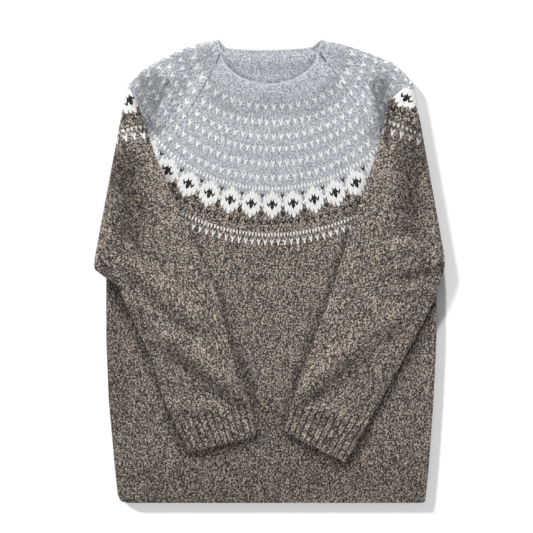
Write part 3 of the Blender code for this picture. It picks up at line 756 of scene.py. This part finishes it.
# How much less a row bows out than its circle would, where the fold draws it in
ROW_DRAWS = {
    # row, way drawn in
    "left": ((36.0, 0.0), (42.0, 1.5), (47.0, 22.0), (50.0, 25.0), (71.0, 10.0), (89.0, 0.0)),
    "right": ((30.0, 0.0), (38.0, 8.0), (42.0, 17.0), (47.0, 20.0), (50.0, 24.0), (71.0, 10.0), (91.0, 0.0)),
}
# Painted shade in the valleys beside the shoulder folds and in the sleeves' creases
SLEEVE_SHADE_LINES = {
    # x0, y0, x1, y1, depth of painted shade, half width
    "left": ((-160.0, 268.0, -174.0, 208.0, 0.55, 24.0), (-177.0, 266.0, -182.0, 236.0, 0.50, 20.0),
             (-144.0, 266.0, -155.0, 242.0, 0.60, 10.0), (-155.0, 242.0, -164.0, 221.0, 0.60, 10.0),
             (-164.0, 221.0, -172.0, 206.0, 0.60, 8.0), (-194.0, -19.0, -117.0, -82.0, 0.22, 18.0),
             (-140.0, -112.0, -103.0, -140.0, 0.20, 19.0), (-103.0, -140.0, -40.0, -193.0, 0.24, 17.0),
             (-236.0, 10.0, -222.0, -8.0, 0.45, 11.0), (-206.0, 150.0, -196.0, 60.0, 0.56, 38.0),
             (-216.0, 36.0, -150.0, 20.0, 0.30, 18.0),
             (-96.0, 300.0, -160.0, 262.0, 0.26, 36.0)),
    "right": ((156.0, 266.0, 157.0, 206.0, 0.58, 23.0), (143.0, 262.0, 150.0, 230.0, 0.58, 11.0),
              (150.0, 230.0, 156.0, 206.0, 0.58, 9.0), (134.0, -127.0, 48.0, -183.0, 0.22, 19.0),
              (183.0, -5.0, 236.0, 4.0, 0.55, 14.0), (190.0, 55.0, 218.0, 41.0, 0.40, 10.0),
              (200.0, 190.0, 190.0, 70.0, 0.54, 36.0),
              (96.0, 298.0, 165.0, 266.0, 0.22, 36.0)),
}
SLEEVE_ZONES = (
    # first row, last row, wales
    (0.0, 6.0, 16),
    (6.0, 16.0, 24),
    (16.0, 31.0, 33),
    (31.0, 45.0, 40),
    (45.0, UNDERARM_ROW, 44),
    (UNDERARM_ROW, CUFF_ROW - SEAM_TRIM, 44),
)
sleeve_knit = yarn_material("sleeve_knit", lightness=1.05)
rib_knit = yarn_material("rib_knit", lightness=1.10)


def spread_out(side, x, y, folded):
    """A place on the sleeve as it would lie with the sleeve spread out beside the body."""
    start, along, out = FOLD_LINES[side]
    if not folded:
        return x, y
    way = (x - start[0]) * along[0] + (y - start[1]) * along[1]
    inward = (start[0] - x) * out[0] + (start[1] - y) * out[1]
    distance = math.pi * FOLD_CENTRE + inward
    return tuple(start[k] + way * along[k] + distance * out[k] for k in (0, 1))


def turned_over(side, x, y, h, puff):
    """Places on the folded sleeve: flat beside the body, round the fold, then on the front."""
    start, along, out = FOLD_LINES[side]
    way = (x - start[0]) * along[0] + (y - start[1]) * along[1]
    distance = (x - start[0]) * out[0] + (y - start[1]) * out[1]
    length = math.pi * FOLD_CENTRE
    angle = np.clip(distance / length, 0.0, 1.0) * math.pi
    radius = FOLD_RISE - h
    inward = np.maximum(distance - length, 0.0)
    across = np.minimum(distance, 0.0) + radius * np.sin(angle) - inward
    px = start[0] + way * along[0] + across * out[0]
    py = start[1] + way * along[1] + across * out[1]
    settled = ease(inward / SETTLE_REACH)
    upper = ease((h - WALL) / (HEIGHT - 2.0 * WALL))
    pz = FOLD_RISE - radius * np.cos(angle) - LAID_DROP * settled
    pz = pz + (rise(ARM_FOLDS[side], px, py) + puff) * settled * (1.0 - UNDER_CALM * upper)
    pz = pz + rise(YOKE_FOLDS, px, py) * np.where(distance < 0.0, upper, 1.0)
    return np.stack((px, py, pz), axis=-1)


def sleeve(side):
    """Surface of a sleeve with its cuff: a function of share round the tube and row."""
    rows = np.array([(row, *spread_out(side, *ends[:3]), *spread_out(side, *ends[3:]))
                     for row, *ends in SLEEVE_ROWS[side]])
    drawn_rows, draws = zip(*ROW_DRAWS[side])
    away = 1.0 if side == "left" else -1.0

    def surface(u, v):
        near_x, near_y, far_x, far_y = (np.interp(v, rows[:, 0], rows[:, k]) for k in range(1, 5))
        chord = np.hypot(far_x - near_x, far_y - near_y)
        radius = NECK_CIRCLE + ROW_PITCH * v
        kept = np.clip((FADED_ROW - v) / FADING_ROWS, FADED_PART, 1.0)
        sag = chord ** 2 / (8.0 * radius) * kept * np.clip(v / BOW_ROWS, 0.0, 1.0)
        sag = sag - np.interp(v, drawn_rows, draws)
        closed = np.clip(1.0 - (UNDERARM_ROW - v) / SIDE_FADE, 0.0, 1.0)
        share = 1.0 - np.abs(2.0 * u - 1.0)
        layer = np.where(u < 0.5, 1.0, -1.0)
        cloth = chord + (1.0 + closed) * (SIDE_LENGTH - SIDE_REACH)
        from_near, near_turn = side_fold(share * cloth, closed)
        from_far, far_turn = side_fold((1.0 - share) * cloth, 1.0)
        w = np.where(share < 0.5, from_near / chord, 1.0 - from_far / chord)
        turn = np.where(share < 0.5, near_turn, far_turn)
        bow = sag * 4.0 * w * (1.0 - w)
        x = near_x + w * (far_x - near_x) - bow * away * (far_y - near_y) / chord
        y = near_y + w * (far_y - near_y) + bow * away * (far_x - near_x) / chord
        puff = SLEEVE_PUFF * 4.0 * np.clip(w * (1.0 - w), 0.0, 0.25)
        puff = puff * np.clip((v - PUFF_START) / PUFF_ROWS, 0.0, 1.0)
        return turned_over(side, x, y, HEIGHT / 2.0 + layer * turn * HEIGHT / 2.0, puff)

    return surface


# The cuffs: tubes of one by one rib on the wrists, worked on from the sleeves
RIB_COUNT = 24
RIB_GROOVE_SHADE = 0.50     # depth of painted shade between the ribs
RIB_FORM = (
    (-1.6, -0.3, 0.4, 0.6, 0.3, 0.6, 0.4, -0.3),
    (-1.6, -0.3, 0.6, 0.8, 0.3, 0.8, 0.6, -0.3),
)
RIB_LEAN = (0.0, 0.2, 0.3, 0.1, -0.4, 0.1, 0.3, 0.2)


def sleeve_chart(shift):
    """The yoke's chart with its motifs moved round the sleeve by some wales."""
    return lambda wale, row, core, late: yoke_chart(wale - shift, row, core, late)


for side, turn, seed, shift in (("left", 1.0, 31, 2), ("right", -1.0, 41, 3)):
    surface = sleeve(side)
    tube = knit(f"sleeve_{side}_knit", SLEEVE_ZONES, surface, turn, sleeve_chart(shift), seed,
                closing_row=UNDERARM_ROW, shade_lines=SLEEVE_SHADE_LINES[side])
    tube.data.materials.append(sleeve_knit)
    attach(tube, "root")
    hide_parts(f"sleeve_{side}")
    sleeve_group.objects.link(tube)

    cuff_zones = ((CUFF_ROW + SEAM_TRIM, WRIST_ROW, RIB_COUNT),)
    cuff = knit(f"cuff_{side}_knit", cuff_zones, surface, turn, plain_chart, seed + 1,
                closing_row=0.0, form=RIB_FORM, lean=RIB_LEAN, groove_shade=RIB_GROOVE_SHADE)
    cuff.data.materials.append(rib_knit)
    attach(cuff, "root")
    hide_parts(f"cuff_{side}")

# Neckband: a narrow grey band round the neck, worked on from the yoke. Its free edge rolls a
# little in front, and it turns over at a peak on each shoulder.
BAND_ROWS = 3.0
BAND_WALES = 76
BAND_ROLL = 0.4       # rows of the rolled edge
BAND_SWELL = 0.5
TURN_LENGTH = 3.0     # cloth in half of a peak's turn
BAND_BASE = {
    # left x, left y, right x, right y, sag and power, or a peak's x and y
    "front": (-77.3, 291.1, 77.3, 294.1, 42.2, 0.70),
    "back": (-71.8, 304.1, 70.3, 306.1, 6.0, 0.80),
    "left": (-86.3, 321.3),
    "right": (82.2, 321.3),
}
BAND_EDGE = {
    "front": (-68.5, 300.5, 65.0, 302.5, 38.5, 0.66),
    "back": (-64.0, 314.5, 58.5, 316.0, 3.6, 0.80),
    "left": (-74.2, 326.2),
    "right": (70.0, 325.5),
}
PEAK_TURNS = (
    # share of the way to the peak, turn of the cloth there
    (0.4, 1.0),
    (0.68, 0.95),
    (0.84, 0.75),
    (0.95, 0.42),
    (1.0, 0.0),
)


def to_peak(end, peak):
    """Places and turns of the cloth from an arc's end up to a peak."""
    return [(*(end[:2] + t * (np.array(peak) - end[:2])), end[2] * turn) for t, turn in PEAK_TURNS]


def neck_line(places):
    """Once round the neck, from the left raglan in front: x, y and turn of the cloth."""
    arcs = {}
    for part, turn, count in (("front", 1.0, 41), ("back", -1.0, 21)):
        left_x, left_y, right_x, right_y, sag, power = places[part]
        w = np.linspace(0.0, 1.0, count)
        y = left_y + w * (right_y - left_y) - sag * (4.0 * w * (1.0 - w)) ** power
        arcs[part] = np.stack((left_x + w * (right_x - left_x), y, np.full(count, turn)), axis=-1)
    front_arc, back_arc = arcs["front"], arcs["back"]
    right_peak = to_peak(front_arc[-1], places["right"]) + to_peak(back_arc[-1], places["right"])[-2::-1]
    left_peak = to_peak(back_arc[0], places["left"]) + to_peak(front_arc[0], places["left"])[-2::-1]
    return np.concatenate((front_arc, right_peak, back_arc[::-1], left_peak, front_arc[:1]))


base_line, edge_line = neck_line(BAND_BASE), neck_line(BAND_EDGE)
band_steps = np.hypot(*np.diff(base_line[:, :2], axis=0).T)
band_steps = band_steps + np.abs(np.diff(base_line[:, 2])) * TURN_LENGTH
band_share = np.concatenate(([0.0], np.cumsum(band_steps))) / band_steps.sum()


def neckband_surface(u, v):
    """Surface of the neckband, from its free edge down to its seam."""
    u = u % 1.0
    down = (v + BAND_ROLL) / (BAND_ROWS + BAND_ROLL)
    x, y, turn = (np.interp(u, band_share, edge_line[:, k]) * (1.0 - down)
                  + np.interp(u, band_share, base_line[:, k]) * down for k in range(3))
    swell = BAND_SWELL * np.sin(math.pi * np.clip(down, 0.0, 1.0)) * turn
    z = HEIGHT / 2.0 + turn * (HALF_GAP + FOLD_RADIUS) + swell
    return np.stack((x, y, z + rise(YOKE_FOLDS, x, y) * np.clip(turn, 0.0, 1.0)), axis=-1)


def band_chart(wale, row, core, late):
    """Grey yarn, and a paler one in the rolled edge as a painted highlight where the roll catches the light.
    """
    return np.where(row < 0, PALE, GREY)


# The raglan seams run on across the band as lines of painted shade, and painted shade lies inside each peak
BAND_SHADE_LINES = (
    # x0, y0, x1, y1, depth of painted shade, half width
    (-77.6, 290.0, -71.0, 305.0, 0.75, 2.4),
    (77.6, 293.0, 67.0, 306.5, 0.75, 2.4),
    (-71.0, 322.0, -66.0, 314.0, 0.45, 6.0),
    (67.0, 322.0, 61.0, 315.0, 0.45, 6.0),
)
neck_knit = yarn_material("neck_knit")
band_zones = ((-BAND_ROLL, 0.0, BAND_WALES), (0.0, BAND_ROWS, BAND_WALES))
neckband = knit("neckband_knit", band_zones, neckband_surface, -1.0, band_chart, 51,
                closing_row=-1.0, lining_rows=BAND_ROWS, shade_lines=BAND_SHADE_LINES)
neckband.data.materials.append(neck_knit)
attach(neckband, "root")
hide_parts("neckband")
